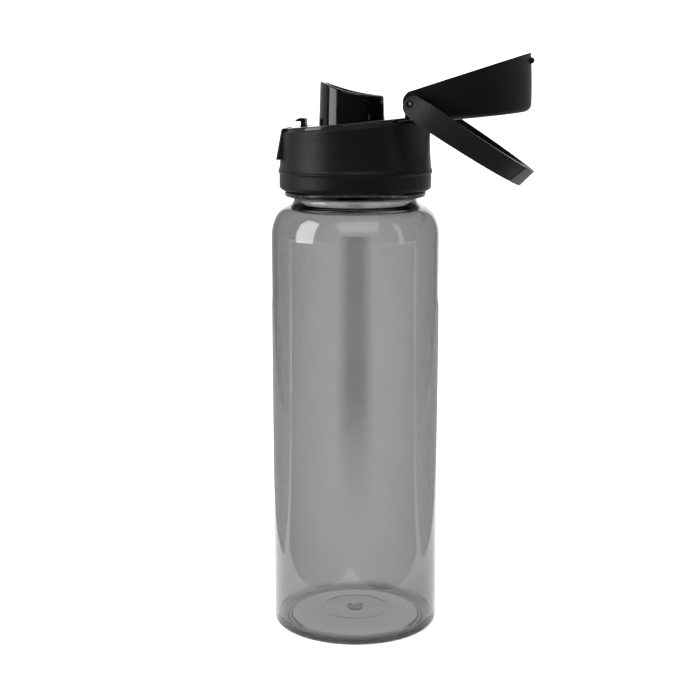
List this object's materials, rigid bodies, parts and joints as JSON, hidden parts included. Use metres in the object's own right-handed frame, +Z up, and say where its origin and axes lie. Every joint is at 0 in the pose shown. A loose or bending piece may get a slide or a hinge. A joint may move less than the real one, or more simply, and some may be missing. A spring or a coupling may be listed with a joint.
{
  "type": "sports water bottle",
  "caption": "Clear cylindrical drinking bottle with a screw lid, a spout under a sprung flip cap, a front release button and a swinging carry bail.",
  "frame": {"origin": "centre of the bottle's base, on the plane it stands on", "axes": "+Z up along the bottle's axis, +X towards the cap's hinge (back), -X towards the release button (front), +Y to the bottle's left"},
  "size_m": [0.116, 0.075, 0.2586],
  "materials": {
    "smoke_clear": "clear smoke-grey copolyester, glossy",
    "matt_black": "black moulded plastic with a fine matt grain",
    "satin_black": "dark grey-black satin plastic",
    "gloss_black": "black moulded plastic, polished",
    "soft_black": "dark soft-touch elastomer",
    "silicone": "translucent grey food-grade silicone",
    "steel": "stainless steel wire and rod"
  },
  "bodies": {
    "bottle": {"bottle": "smoke_clear"},
    "lid_seat": {"neck_gasket": "silicone"},
    "lid": {"lid_base": "matt_black", "collar": "matt_black", "deck_spout": "gloss_black", "spout_gasket": "silicone", "hinge_pin": "steel", "hinge_spring": "steel", "latch_spring": "steel"},
    "cap": {"flip_cap": "matt_black", "seal_holder": "satin_black", "spout_seal": "silicone"},
    "handle": {"carry_handle": "satin_black", "handle_grip": "soft_black"},
    "latch": {"release_button": "matt_black", "latch_hook": "matt_black"}
  },
  "joints": [
    {"name": "lid_lift", "type": "slide", "parent": "bottle", "child": "lid_seat", "axis": [0, 0, 1], "range_m": [0, 0.01265]},
    {"name": "lid_turn", "type": "hinge", "parent": "lid_seat", "child": "lid", "pos_m": [0, 0, 0.21], "axis": [0, 0, 1], "range_deg": [0, 828]},
    {"name": "cap_hinge", "type": "hinge", "parent": "lid", "child": "cap", "pos_m": [0.025, 0, 0.237], "axis": [0, -1, 0], "range_deg": [0, 167.6], "deforming": ["hinge_spring"]},
    {"name": "handle_swing", "type": "hinge", "parent": "lid", "child": "handle", "pos_m": [0.025, 0, 0.237], "axis": [0, -1, 0], "range_deg": [0, 216]},
    {"name": "button_slide", "type": "slide", "parent": "lid", "child": "latch", "axis": [1, 0, 0], "range_m": [0, 0.0018], "stiffness_N_per_m": 900, "springref_m": -0.001, "deforming": ["latch_spring"]}
  ],
  "couplings": [
    {"joint": "lid_lift", "follows": "lid_turn", "m_per_rad": 0.00087535}
  ]
}
